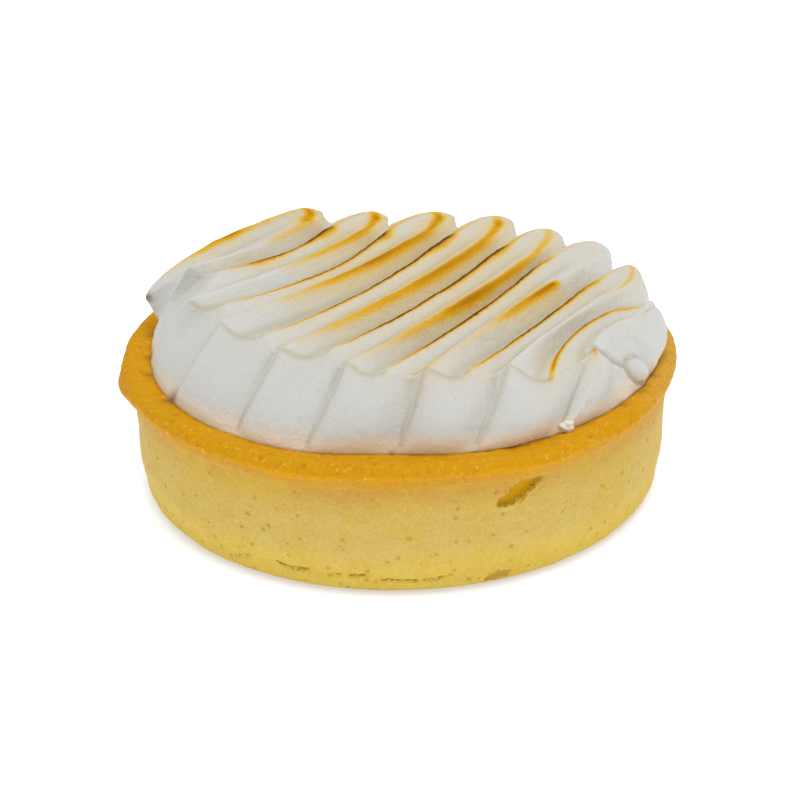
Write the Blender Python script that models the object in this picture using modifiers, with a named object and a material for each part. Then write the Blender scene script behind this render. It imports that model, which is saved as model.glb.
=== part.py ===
"""A round lemon tart: a shortcrust case topped with one ribbon of piped, torched meringue.

The case is a turned solid with a lipped rim. The meringue lies on it as one solid, piped to and fro:
each run goes back along a thin ridge, round a nose, and returns along a broad ridge to a front corner.
Sizes are in millimetres while the shapes are worked out, and in metres on the finished meshes.
The runs are laid out in two directions of their own: across them and along them.
"""
import math
from collections import namedtuple

import bmesh
import bpy
from mathutils import Matrix, Vector

MM = 0.001
FIT_GAP = 0.3                     # clearance between the meringue and the case

# Case
RIM_RADIUS = 45.0
CASE_HEIGHT = 22.2
FLOOR_RADIUS = 40.6               # flat underside
SEAT_RADIUS = 37.2                # flat top under the meringue
SEAT_HEIGHT = 21.2
RIM_SLOPE_RADIUS = 40.6           # the rim's inner slope passes here
RIM_SLOPE_HEIGHT = 21.7
WALL_RADIUS = 43.2
CASE_WOBBLE = 0.15                # five soft waves round the wall
CASE_STEPS = 80

# Meringue
RUN_DIRECTION = math.radians(57)  # the runs point this way from +X, seen from above
WALL_FOOT_RADIUS = 40.3
WALL_FOOT_HEIGHT = 22.5
UNDERSIDE_TUCK = 0.4              # how far the underside draws in from the foot
COLUMNS_PER_GAP = 5
ROWS_ALONG_RUN = 26
WALL_ROWS = 8
RUN_MIDDLE = 5.0                  # where along the runs their middle places are given
FRONT_SHARE = 0.3                 # share of a run over which its hollows change towards the front
BACK_SHARE = 0.2                  # the same towards the back
EDGE_SHARE = 0.12                 # share of a run over which the top's edge swings in and out
VALLEY_LOWEST = 0.6               # place of a valley's lowest line across it
NOTCH_LOWEST = 0.75               # the same where the valley opens at the back
DISH_LOWEST = 0.5
CREASE_LOWEST = 0.72
NOSE_REACH = 2.2                  # how far a nose swings out behind its ridges' ends
NOSE_CROWN = 1.0                  # how far a nose's rim rises in its middle
NOSE_ROLL = 0.02                  # share of the rows that roll down over a nose
ROLL_REACH = 0.9                  # how far they roll out and down
RIDGE_TILTS = (1.2, 0.8)          # how far a thin and a broad ridge sink towards the back
TILT_START = 0.75                 # share of a run from which they sink
VALLEY_DEPTH = 2.3                # between a broad ridge and the next thin one
NOTCH_DEPTH = 0.5                 # the same valley where it opens at the back
SMILE_DIP = 1.1                   # the same valley where a lobe closes it at the front
DISH_DEPTH = 0.9                  # between a thin ridge and its broad one
CREASE_DEPTHS = (0.3, 0.5, 0.8, 1.2, 1.4, 1.5, 1.5, 1.2)  # each dish where it runs out down a crease
SMILE_BULGE = 0.7
CREASE_RECESS = 0.3               # of a crease's depth
NOTCH_RECESS = 0.4
PILLOW = 1.2                      # how far a lobe's front stands out
CREASE_STEP = 1.0                 # how far a lobe falls back at its far side
BULGING_NOSES = 12                # place along the back from which the noses bulge
LAST_VALLEY = 0.9                 # between the last small lobe and the last nose
LUMP = 2.1                        # the ribbon's end, a lump on the last small lobe
LUMP_BEARING = 7.0
LUMP_HEIGHT = 24.6
LUMP_TURN = 2.1                   # half its width, in degrees
LUMP_RISE = 1.8
WALL_ROUNDING = {"front": 0.35, "right": 0.5, "back": 0.9, "left": 0.9}
WALL_DROP = {"front": 1.0, "right": 1.0, "back": 1.0, "left": 1.8}
# Where the foot leaves its circle: bearing, how far out, width in degrees.
FOOT_SWINGS = ((-60, -2.2, 14), (18, 1.4, 30))

# A run's ends are bearing in degrees from the across direction, reach from the middle, and height.
# Its middles are places across the runs.
Run = namedtuple("Run", "start thin_middle thin_end corner broad_middle broad_end")
RUNS = (
    Run((-156.2, 42.2, 27.8), -36.4, (162.5, 36.4, 33.4), (-156.0, 34.7, 34.0), -28.0, (143.6, 37.0, 31.8)),
    Run((-158.5, 29.6, 33.0), -23.4, (141.1, 35.1, 30.8), (-132.0, 34.0, 34.0), -18.4, (125.5, 34.0, 30.8)),
    Run((-128.0, 28.6, 33.5), -12.4, (124.7, 31.5, 30.9), (-112.5, 32.9, 34.5), -8.1, (105.8, 34.6, 31.2)),
    Run((-99.7, 30.1, 33.5), -2.5, (102.7, 31.8, 30.8), (-88.8, 33.4, 34.3), 3.3, (89.0, 36.2, 31.0)),
    Run((-77.6, 29.3, 33.3), 7.8, (82.6, 31.9, 30.8), (-70.2, 34.0, 34.0), 13.7, (71.5, 35.8, 31.1)),
    Run((-60.8, 33.3, 32.5), 16.5, (65.8, 33.4, 30.9), (-51.0, 34.5, 33.4), 21.6, (56.0, 38.3, 31.1)),
    Run((-41.1, 35.5, 32.5), 26.7, (46.5, 36.5, 30.5), (-31.4, 36.3, 33.0), 30.5, (36.5, 39.1, 30.8)),
    Run((-22.2, 38.7, 30.0), 32.6, (24.5, 39.9, 30.3), (-7.8, 38.6, 32.0), 36.6, (15.5, 38.9, 30.2)),
)
# Bearings of the foot of the wall below each ridge's front end: the lobes lean over to one side.
FOOT_BEARINGS = (-159, -149, -142, -135, -126, -118, -106, -95, -86, -78, -67, -58, -49, -42, -31, -22)
RIDGES = 2 * len(RUNS)
LOW_STARTS = (0, RIDGES - 2)      # ridges that climb steeply from a low front end
LOW_RISE = 0.42                   # the lower, the steeper they start


def smooth(x):
    """Ease from 0 to 1 with level ends."""
    x = min(max(x, 0.0), 1.0)
    return x * x * (3 - 2 * x)


def mix(a, b, share):
    return a + (b - a) * share


def bump(x, centre, width):
    return math.exp(-((x - centre) / width) ** 2)


def apart(bearing, other):
    """Turn from one bearing to another, between -180 and 180 degrees."""
    return (bearing - other + 180) % 360 - 180


def polar(bearing, reach):
    """Place across and along the runs."""
    turn = math.radians(bearing)
    return reach * math.cos(turn), reach * math.sin(turn)


def through(x, points):
    """Parabola through three points."""
    (x0, y0), (x1, y1), (x2, y2) = points
    return (y0 * (x - x1) * (x - x2) / ((x0 - x1) * (x0 - x2))
            + y1 * (x - x0) * (x - x2) / ((x1 - x0) * (x1 - x2))
            + y2 * (x - x0) * (x - x1) / ((x2 - x0) * (x2 - x1)))


# Scene helpers

def clear_scene():
    for obj in list(bpy.data.objects):
        bpy.data.objects.remove(obj, do_unlink=True)


def new_collection(name):
    collection = bpy.data.collections.new(name)
    bpy.context.scene.collection.children.link(collection)
    return collection


def new_material(name, colour, roughness):
    material = bpy.data.materials.new(name)
    material.use_nodes = True
    shader = material.node_tree.nodes["Principled BSDF"]
    shader.inputs["Base Color"].default_value = (*colour, 1.0)
    shader.inputs["Roughness"].default_value = roughness
    shader.inputs["Metallic"].default_value = 0.0
    return material


def add_object(name, mesh, collection, material=None):
    obj = bpy.data.objects.new(name, mesh)
    collection.objects.link(obj)
    if material:
        mesh.materials.append(material)
    return obj


def freeze_modifiers(obj):
    """Replace the object's mesh by its evaluated one."""
    depsgraph = bpy.context.evaluated_depsgraph_get()
    mesh = bpy.data.meshes.new_from_object(obj.evaluated_get(depsgraph))
    obj.modifiers.clear()
    obj.data = mesh


# Case

def case_profile():
    """Radius and height from the middle of the top, over the rim, down the wall, to the middle below."""
    return [
        (0.0, SEAT_HEIGHT),
        (SEAT_RADIUS, SEAT_HEIGHT),
        (RIM_SLOPE_RADIUS, RIM_SLOPE_HEIGHT),
        (RIM_RADIUS - 2.2, CASE_HEIGHT - 0.05),
        (RIM_RADIUS - 1.1, CASE_HEIGHT),
        (RIM_RADIUS - 0.3, CASE_HEIGHT - 0.5),
        (RIM_RADIUS, CASE_HEIGHT - 1.3),
        (RIM_RADIUS - 0.5, CASE_HEIGHT - 2.7),
        (WALL_RADIUS + 0.5, CASE_HEIGHT - 4.4),
        (WALL_RADIUS + 0.1, CASE_HEIGHT - 7.5),
        (WALL_RADIUS, CASE_HEIGHT / 2),
        (WALL_RADIUS, CASE_HEIGHT * 0.3),
        (WALL_RADIUS - 0.6, CASE_HEIGHT * 0.15),
        (WALL_RADIUS - 0.9, CASE_HEIGHT * 0.07),
        (FLOOR_RADIUS + 1.0, 0.5),
        (FLOOR_RADIUS, 0.0),
        (0.0, 0.0),
    ]


# Bulges of the case: bearing from +X in degrees, height, how far out, and their widths round and up.
CASE_BULGES = (
    (-166, 19.9, 1.3, 7, 1.2),
    (-62, 20.8, 0.8, 7, 2.2),
    (-40, 20.8, 0.4, 8, 2.0),
    (-109, 21.0, 0.4, 7, 1.8),
    (-90, 21.0, -0.4, 8, 2.0),
    (100, 20.5, 0.7, 12, 2.0),
    (35, 20.5, -0.5, 9, 2.0),
)


def case_bulge(bearing, height):
    """How far the hand-pressed case departs from round."""
    out = CASE_WOBBLE * math.sin(math.radians(5 * bearing + 40)) * height / CASE_HEIGHT
    for middle, level, amount, width, rise in CASE_BULGES:
        out += amount * bump(apart(bearing, middle), 0, width) * bump(height, level, rise)
    return out


# Hollows of the case's outside: bearing, height, length, width, depth and tilt in degrees.
CASE_HOLLOWS = (
    (-64.5, 16.4, 4.4, 1.5, 0.8, 38),
    (-69.0, 14.6, 2.4, 1.4, 0.7, 62),
    (-73.5, 1.3, 3.4, 1.2, 0.7, 10),
)


def hollow_cutter(collection, bearing, height, length, width, depth, tilt):
    """A flat ellipsoid half sunk in the wall."""
    mesh = bpy.data.meshes.new("hollow")
    shape = bmesh.new()
    bmesh.ops.create_icosphere(shape, subdivisions=1, radius=0.5)
    size = Matrix.Diagonal((2 * depth, length, width, 1))
    place = Matrix.Translation((wall_radius(height), 0, height))
    turn = Matrix.Rotation(math.radians(bearing), 4, "Z")
    lean = Matrix.Rotation(math.radians(tilt), 4, "X")
    bmesh.ops.transform(shape, matrix=Matrix.Scale(MM, 4) @ turn @ place @ lean @ size, verts=shape.verts)
    shape.to_mesh(mesh)
    shape.free()
    cutter = add_object("hollow", mesh, collection)
    cutter.hide_render = True
    cutter.display_type = "WIRE"
    return cutter


def wall_radius(height):
    """Outer radius of the case at a height."""
    wall = [(radius, level) for radius, level in case_profile()[5:-1]]
    for (r1, z1), (r0, z0) in zip(wall, wall[1:]):
        if z0 <= height <= z1:
            return mix(r0, r1, (height - z0) / (z1 - z0))
    return RIM_RADIUS


def build_case(collection, cutters):
    mesh = bpy.data.meshes.new("crust")
    shape = bmesh.new()
    points = [shape.verts.new((radius * MM, 0, height * MM)) for radius, height in case_profile()]
    for start, end in zip(points, points[1:]):
        shape.edges.new((start, end))
    shape.to_mesh(mesh)
    shape.free()
    case = add_object("crust", mesh, collection)
    screw = case.modifiers.new("Turn", "SCREW")
    screw.axis = "Z"
    screw.angle = math.tau
    screw.steps = screw.render_steps = CASE_STEPS
    screw.use_merge_vertices = True
    screw.merge_threshold = 0.00005
    freeze_modifiers(case)
    for vertex in case.data.vertices:
        radius = math.hypot(vertex.co.x, vertex.co.y)
        if radius > RIM_SLOPE_RADIUS * MM and vertex.co.z > 0:
            bearing = math.degrees(math.atan2(vertex.co.y, vertex.co.x))
            grow = 1 + case_bulge(bearing, vertex.co.z / MM) * MM / radius
            vertex.co.x *= grow
            vertex.co.y *= grow
    for hollow in CASE_HOLLOWS:
        cut = case.modifiers.new("Hollow", "BOOLEAN")
        cut.operation = "DIFFERENCE"
        cut.object = hollow_cutter(cutters, *hollow)
    freeze_modifiers(case)
    case.data.materials.clear()
    case.data.materials.append(new_material("baked shortcrust", (0.72, 0.47, 0.12), 0.6))
    case.data.shade_smooth()
    case.data.set_sharp_from_angle(angle=math.radians(40))
    return case


# Meringue

def ridge_point(index, along):
    """Point of a ridge, from its front end at 0 to its back end at 1. Even ridges are the thin ones."""
    run = RUNS[index // 2]
    if index % 2:
        front, middle, back = run.corner, run.broad_middle, run.broad_end
    else:
        front, middle, back = run.start, run.thin_middle, run.thin_end
    front_across, front_along = polar(*front[:2])
    back_across, back_along = polar(*back[:2])
    q = mix(front_along, back_along, along)
    p = through(q, ((front_along, front_across), (RUN_MIDDLE, middle), (back_along, back_across)))
    rise = LOW_RISE if index in LOW_STARTS else 1.0
    tilt = RIDGE_TILTS[index % 2] if index else 0.0
    z = mix(front[2], back[2] + tilt, along ** rise)
    return p, q, z - tilt * smooth((along - TILT_START) / (1 - TILT_START))


def hollow_shape(share, lowest, level_left, level_right):
    """Depth of a hollow from 0 at its sides to 1 at its lowest place; a level side has no edge there."""
    if share < lowest:
        part, level = share / lowest, level_left
    else:
        part, level = (1 - share) / (1 - lowest), level_right
    return mix(math.sin(part * math.pi / 2), smooth(part), level)


def hollow_depth(index, along, share):
    """Depth between ridges index and index + 1."""
    front = 1 - smooth(along / FRONT_SHARE)
    back = 1 - smooth((1 - along) / BACK_SHARE)
    if index % 2:
        depth = mix(mix(VALLEY_DEPTH, SMILE_DIP, front), NOTCH_DEPTH, back)
        return depth * hollow_shape(share, mix(VALLEY_LOWEST, NOTCH_LOWEST, back), 1.0, 0.0)
    depth = mix(DISH_DEPTH, CREASE_DEPTHS[index // 2], front) * (1 - back)
    return depth * hollow_shape(share, mix(DISH_LOWEST, CREASE_LOWEST, front), mix(0.2, 1.0, front),
                                1 - 0.7 * front)


def top_point(index, share, along):
    """Point of the meringue's top between ridges index and index + 1; its last rows roll over the back."""
    inner = smooth((index + share) / 0.6) * smooth((RIDGES - 1 - index - share) / 0.6)
    crest = mix(along, min(along / (1 - NOSE_ROLL), 1.0), inner)
    p0, q0, z0 = ridge_point(index, crest)
    p1, q1, z1 = ridge_point(min(index + 1, RIDGES - 1), crest)
    p, q, z = mix(p0, p1, share), mix(q0, q1, share), mix(z0, z1, share)
    z -= hollow_depth(index, crest, share)
    arch = max(math.sin(math.pi * share), 0.0)
    front = (1 - min(crest / EDGE_SHARE, 1)) ** 2
    back = (1 - min((1 - crest) / EDGE_SHARE, 1)) ** 2
    outward = (SMILE_BULGE if index % 2 else -CREASE_RECESS * CREASE_DEPTHS[index // 2]) * arch * front
    if index % 2:
        q -= NOTCH_RECESS * arch * back
    else:
        q += NOSE_REACH * math.sqrt(arch) * back
        z += NOSE_CROWN * arch * back
    roll = max(1 - (1 - along) / NOSE_ROLL, 0.0) * math.pi / 2
    outward += inner * ROLL_REACH * math.sin(roll)
    stretch = 1 + outward / max(math.hypot(p, q), 1.0)
    return p * stretch, q * stretch, z - inner * ROLL_REACH * (1 - math.cos(roll))


def spread(count):
    """Shares from 0 to 1, closer together at both ends."""
    even = [step / count for step in range(count + 1)]
    return [mix(t, 0.5 - 0.5 * math.cos(math.pi * t), 0.6) for t in even]


def top_columns():
    """Columns of the top, as ridge index and share of the gap after it."""
    columns = [(index, share) for index in range(RIDGES - 1) for share in spread(COLUMNS_PER_GAP)[:-1]]
    return columns + [(RIDGES - 2, 1.0)]


def foot_radius(bearing):
    """Radius of the meringue's foot: it draws back from the front of the rim."""
    swings = [amount * bump(apart(bearing, middle), 0, width) for middle, amount, width in FOOT_SWINGS]
    return WALL_FOOT_RADIUS + sum(swings)


def lobe_shape(place):
    """How a lobe's front stands out from one crease (0) to the next (1): sharp start, slow fall."""
    proud = smooth(place / 0.12)
    fall = smooth((place - 0.55) / 0.45)
    return PILLOW * proud * math.sin(math.pi * place ** 0.7) ** 0.6 - CREASE_STEP * fall


def wall_point(top, side, place, share_down):
    """Point of the wall below a point of the top's edge; share_down is 1 at the foot."""
    p, q, z = top
    reach = math.hypot(p, q)
    bearing = math.degrees(math.atan2(q, p))
    if side == "front":
        index = min(int(place), RIDGES - 2)
        foot = mix(FOOT_BEARINGS[index], FOOT_BEARINGS[index + 1], place - index)
        stand = lobe_shape(((place - 1) % 2) / 2) if place >= 1 else 0.0
    elif side == "right":
        foot = mix(FOOT_BEARINGS[-1], bearing, smooth(place / 0.8))
        stand = PILLOW * smooth(place / 0.1) * (1 - smooth((place - 0.25) / 0.3))
        stand += PILLOW * smooth((place - 0.75) / 0.2) - LAST_VALLEY * bump(place, 0.55, 0.15)
    elif side == "back":
        foot = bearing
        stand = PILLOW / 2 * math.sin(math.pi * place) + PILLOW * smooth((place - BULGING_NOSES) / 2)
    else:
        foot = mix(bearing % 360, FOOT_BEARINGS[0] % 360, smooth(place / 0.6))
        stand = 0.0
    turn = bearing + apart(foot, bearing) * share_down
    rounding, drop = WALL_ROUNDING[side], WALL_DROP[side]
    if side == "right":
        rounding = mix(rounding, WALL_ROUNDING["back"], smooth((place - 0.6) / 0.4))
    elif side == "left":
        rounding = mix(rounding, WALL_ROUNDING["front"], smooth((place - 0.85) / 0.15))
        drop = mix(mix(WALL_DROP["back"], drop, smooth(place / 0.2)), WALL_DROP["front"],
                   smooth((place - 0.85) / 0.15))
    outward = mix(share_down, math.sin(math.pi / 2 * share_down), rounding)
    radius = mix(reach, foot_radius(turn), outward)
    radius += stand * max(math.sin(math.pi * share_down), 0.0) ** 0.7
    height = mix(z, WALL_FOOT_HEIGHT, share_down ** drop)
    radius += LUMP * bump(turn, LUMP_BEARING, LUMP_TURN) * bump(height, LUMP_HEIGHT, LUMP_RISE)
    return (*polar(turn, radius), height)


def underside_points(foot):
    """Points under the foot's edge, tucked in and then level on the seat."""
    p, q, z = foot
    reach = math.hypot(p, q)
    seat = SEAT_HEIGHT + FIT_GAP
    slope = (RIM_SLOPE_HEIGHT - SEAT_HEIGHT) / (RIM_SLOPE_RADIUS - SEAT_RADIUS)
    steps = []
    for radius in (reach - UNDERSIDE_TUCK, SEAT_RADIUS - UNDERSIDE_TUCK):
        height = seat + max(radius - SEAT_RADIUS, 0) * slope
        steps.append((p * radius / reach, q * radius / reach, height))
    return steps


def to_world(point):
    """From the runs' own directions to the tart's."""
    p, q, z = point
    x = p * math.sin(RUN_DIRECTION) + q * math.cos(RUN_DIRECTION)
    y = -p * math.cos(RUN_DIRECTION) + q * math.sin(RUN_DIRECTION)
    return Vector((x, y, z)) * MM


def build_meringue(collection):
    columns = top_columns()
    rows = spread(ROWS_ALONG_RUN)
    grid = [[top_point(index, share, along) for index, share in columns] for along in rows]
    last_row, last_column = len(rows) - 1, len(columns) - 1

    edge = [(0, c, "front", sum(columns[c])) for c in range(last_column)]
    edge += [(r, last_column, "right", rows[r]) for r in range(last_row)]
    edge += [(last_row, c, "back", sum(columns[c])) for c in range(last_column, 0, -1)]
    edge += [(r, 0, "left", 1 - rows[r]) for r in range(last_row, 0, -1)]

    mesh = bpy.data.meshes.new("meringue")
    shape = bmesh.new()
    top = [[shape.verts.new(to_world(point)) for point in row] for row in grid]
    for r in range(last_row):
        for c in range(last_column):
            shape.faces.new((top[r][c], top[r][c + 1], top[r + 1][c + 1], top[r + 1][c]))

    rings = [[top[r][c] for r, c, side, place in edge]]
    for row in range(1, WALL_ROWS + 1):
        rings.append([shape.verts.new(to_world(wall_point(grid[r][c], side, place, row / WALL_ROWS)))
                      for r, c, side, place in edge])
    feet = [wall_point(grid[r][c], side, place, 1.0) for r, c, side, place in edge]
    for level in (0, 1):
        rings.append([shape.verts.new(to_world(underside_points(foot)[level])) for foot in feet])
    count = len(edge)
    for upper, lower in zip(rings, rings[1:]):
        for i in range(count):
            j = (i + 1) % count
            shape.faces.new((upper[j], upper[i], lower[i], lower[j]))
    shape.faces.new(rings[-1])
    bmesh.ops.triangulate(shape, faces=[face for face in shape.faces if len(face.verts) > 4])
    bmesh.ops.recalc_face_normals(shape, faces=shape.faces)
    shape.to_mesh(mesh)
    shape.free()
    meringue = add_object("meringue", mesh, collection,
                          new_material("torched meringue", (0.86, 0.84, 0.78), 0.55))
    mesh.shade_smooth()
    mesh.set_sharp_from_angle(angle=math.radians(50))
    return meringue


def main():
    clear_scene()
    tart = new_collection("lemon tart")
    cutters = new_collection("cutters")
    build_case(tart, cutters)
    build_meringue(tart)


main()
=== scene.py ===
"""A lemon tart on a pale floor: a baked shortcrust case under one ribbon of torched meringue.

The meringue runs to and fro across the case. Each run goes back along a thin ridge, round a nose, and
returns along a broad ridge to a front corner. Shapes are worked out in millimetres, in the runs' own
directions, across them and along them, and set into the meshes in metres.
"""
import math
from collections import namedtuple

import bpy
import numpy as np
from mathutils import Matrix, Vector, kdtree, noise


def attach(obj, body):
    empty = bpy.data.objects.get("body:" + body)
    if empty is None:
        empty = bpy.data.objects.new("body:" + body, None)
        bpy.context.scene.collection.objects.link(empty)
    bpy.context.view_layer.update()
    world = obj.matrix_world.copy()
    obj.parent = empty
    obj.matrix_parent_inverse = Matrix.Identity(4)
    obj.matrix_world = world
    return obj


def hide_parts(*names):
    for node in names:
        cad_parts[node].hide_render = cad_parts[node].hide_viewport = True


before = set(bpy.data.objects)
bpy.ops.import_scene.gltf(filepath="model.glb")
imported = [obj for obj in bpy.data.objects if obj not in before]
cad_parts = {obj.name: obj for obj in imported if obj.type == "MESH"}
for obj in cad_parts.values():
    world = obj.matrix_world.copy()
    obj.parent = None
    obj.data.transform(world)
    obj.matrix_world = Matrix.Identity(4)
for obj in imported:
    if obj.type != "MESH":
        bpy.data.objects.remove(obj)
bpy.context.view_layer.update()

MM = 0.001

# Case
RIM_RADIUS = 45.0
CASE_HEIGHT = 22.2
FLOOR_RADIUS = 40.6
SEAT_RADIUS = 37.2
SEAT_HEIGHT = 21.2
RIM_TOP_RADIUS = RIM_RADIUS - 2.2
RIM_SLOPE_RADIUS = 40.6
RIM_SLOPE_HEIGHT = 21.7
WALL_RADIUS = 43.2
CASE_WOBBLE = 0.15
FRONT_STEPS = 360                 # steps round the front of the case, where its cracks are
BACK_STEPS = 340
FRONT_SECTOR = (-138.0, -28.0)    # bearings between which the steps are close
LINE_STEP = 0.3                   # distance between rows of the case, in millimetres

# Meringue
RUN_DIRECTION = math.radians(57)
RUN_TURN = 33                     # a bearing from the across direction is this much more than from +X
WALL_FOOT_RADIUS = 40.3
FOOT_SINK = 0.15                  # how far the meringue's foot sinks into the rim
COLUMNS_PER_GAP = 14
SHEET_ROWS = 200
WALL_ROWS = 26
RUN_MIDDLE = 5.0
FRONT_SHARE = 0.3
BACK_SHARE = 0.2
EDGE_SHARE = 0.12
VALLEY_LOWEST = 0.6
DISH_LOWEST = 0.5
CREASE_LOWEST = 0.72
NOTCH_LOWEST = 0.75
NOSE_REACH = 2.2
NOSE_CROWN = 1.0
RIDGE_TILTS = (1.2, 0.8)
TILT_START = 0.75
VALLEY_DEPTH = 2.3
SHALLOW_VALLEY = 1.3              # before the last run
NOTCH_DEPTH = 0.5
SMILE_DIP = 1.1
DISH_DEPTH = 0.9
CREASE_DEPTHS = (0.3, 0.5, 0.8, 1.2, 1.4, 1.5, 1.5, 1.2)
SMILE_BULGE = 0.7
CREASE_RECESS = 0.3               # of a crease's depth
NOTCH_RECESS = 0.4
PILLOW = 1.2
CREASE_STEP = 1.0
NOSE_ROLL = 0.02                  # share of the rows that roll down over a nose
ROLL_REACH = 0.9
ROLL_FADE = 0.6                   # the roll fades over this part of the gaps at the back corners
SIDE_LEVEL = 0.2                  # how level a dish lies at its thin ridge
CREASE_LEVEL = 0.7                # how much less level a crease is than a dish at its broad ridge
BULGING_NOSES = 12                # place along the back from which the noses bulge
LAST_VALLEY = 0.9
SOFT_DISHES = ((2, 0.4), (4, 0.2))  # dishes whose front edge is rounded, and how much
SOFT_REACH = 3.0
CREASE_SOFTNESS = 0.25
LUMP = 2.1
LUMP_BEARING = 7.0
LUMP_HEIGHT = 24.6
LUMP_TURN = 2.1
LUMP_RISE = 1.8
WALL_ROUNDING = {"front": 0.35, "right": 0.5, "back": 0.9, "left": 0.9}
WALL_DROP = {"front": 1.0, "right": 1.0, "back": 1.0, "left": 1.8}
FOOT_SWINGS = ((-60, -2.2, 14), (18, 1.4, 30))

Run = namedtuple("Run", "start thin_middle thin_end corner broad_middle broad_end")
RUNS = (
    Run((-156.2, 42.2, 27.8), -36.4, (162.5, 36.4, 33.4), (-156.0, 34.7, 34.0), -28.0, (143.6, 37.0, 31.8)),
    Run((-158.5, 29.6, 33.0), -23.4, (141.1, 35.1, 30.8), (-132.0, 34.0, 34.0), -18.4, (125.5, 34.0, 30.8)),
    Run((-128.0, 28.6, 33.5), -12.4, (124.7, 31.5, 30.9), (-112.5, 32.9, 34.5), -8.1, (105.8, 34.6, 31.2)),
    Run((-99.7, 30.1, 33.5), -2.5, (102.7, 31.8, 30.8), (-88.8, 33.4, 34.3), 3.3, (89.0, 36.2, 31.0)),
    Run((-77.6, 29.3, 33.3), 7.8, (82.6, 31.9, 30.8), (-70.2, 34.0, 34.0), 13.7, (71.5, 35.8, 31.1)),
    Run((-60.8, 33.3, 32.5), 16.5, (65.8, 33.4, 30.9), (-51.0, 34.5, 33.4), 21.6, (56.0, 38.3, 31.1)),
    Run((-41.1, 35.5, 32.5), 26.7, (46.5, 36.5, 30.5), (-31.4, 36.3, 33.0), 30.5, (36.5, 39.1, 30.8)),
    Run((-22.2, 38.7, 30.0), 32.6, (24.5, 39.9, 30.3), (-7.8, 38.6, 32.0), 36.6, (15.5, 38.9, 30.2)),
)
FOOT_BEARINGS = (-159, -149, -142, -135, -126, -118, -106, -95, -86, -78, -67, -58, -49, -42, -31, -22)
RIDGES = 2 * len(RUNS)
LOW_STARTS = (0, RIDGES - 2)
LOW_RISE = 0.42
SHEET_COLUMNS = COLUMNS_PER_GAP * (RIDGES - 1)

# How the torch caught each ridge: place along it, dark line, amber glow and half width of the glow.
# A place beyond 1 is on the nose, and 1.5 is its crown.
THIN_SCORCH = (
    ((0, 0, 0, .6), (.3, 0, .3, .7), (.55, 0, .7, .9), (.8, .1, .9, .9), (1, .05, .5, .6),
     (1.5, 0, .35, .5)),
    ((0, 0, .25, .4), (.1, .1, .6, .6), (.2, .3, .9, .8), (.35, .5, .8, .6), (.5, .6, .55, .4),
     (.65, .6, .8, .6), (.8, .5, 1, 1.1), (.9, .4, 1, 1.0), (1, .05, .5, .5), (1.5, 0, .3, .4)),
    ((0, 0, .3, .3), (.1, .25, .45, .35), (.2, .45, .45, .35), (.4, .7, .4, .4), (.6, .7, .5, .5),
     (.75, .6, .7, .6), (.88, .5, 1, 1.1), (1, .05, .6, .5), (1.5, 0, .3, .4)),
    ((0, 0, .15, .3), (.1, .2, .5, .35), (.3, .6, .5, .4), (.5, .8, .5, .5), (.7, .8, .7, .6),
     (.85, .7, 1, 1.1), (.93, .5, 1, .9), (1, .05, .6, .5), (1.5, 0, .3, .4)),
    ((0, .1, .2, .3), (.1, .5, .4, .35), (.25, .9, .5, .4), (.45, .8, .5, .5), (.6, .85, .8, .7),
     (.75, .9, .8, .7), (.88, .6, .9, .9), (1, .2, .5, .5), (1.5, 0, .25, .4)),
    ((0, .1, .2, .3), (.1, .5, .3, .3), (.25, .85, .4, .35), (.45, 1, .6, .5), (.6, .7, .6, .5),
     (.75, .9, .6, .5), (.9, .4, .5, .4), (1, .1, .25, .4), (1.5, 0, .15, .4)),
    ((0, .1, .4, .35), (.1, .4, .5, .35), (.25, .7, .4, .35), (.5, .9, .4, .35), (.7, .6, .6, .5),
     (.85, .4, .6, .6), (1, .05, .25, .4), (1.5, 0, .2, .3)),
    ((0, .1, .4, .4), (.1, .4, .5, .4), (.4, .7, .35, .35), (.7, .7, .35, .35), (.9, .4, .3, .35),
     (1, .2, .3, .3), (1.5, 0, .1, .4)),
)
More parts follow.
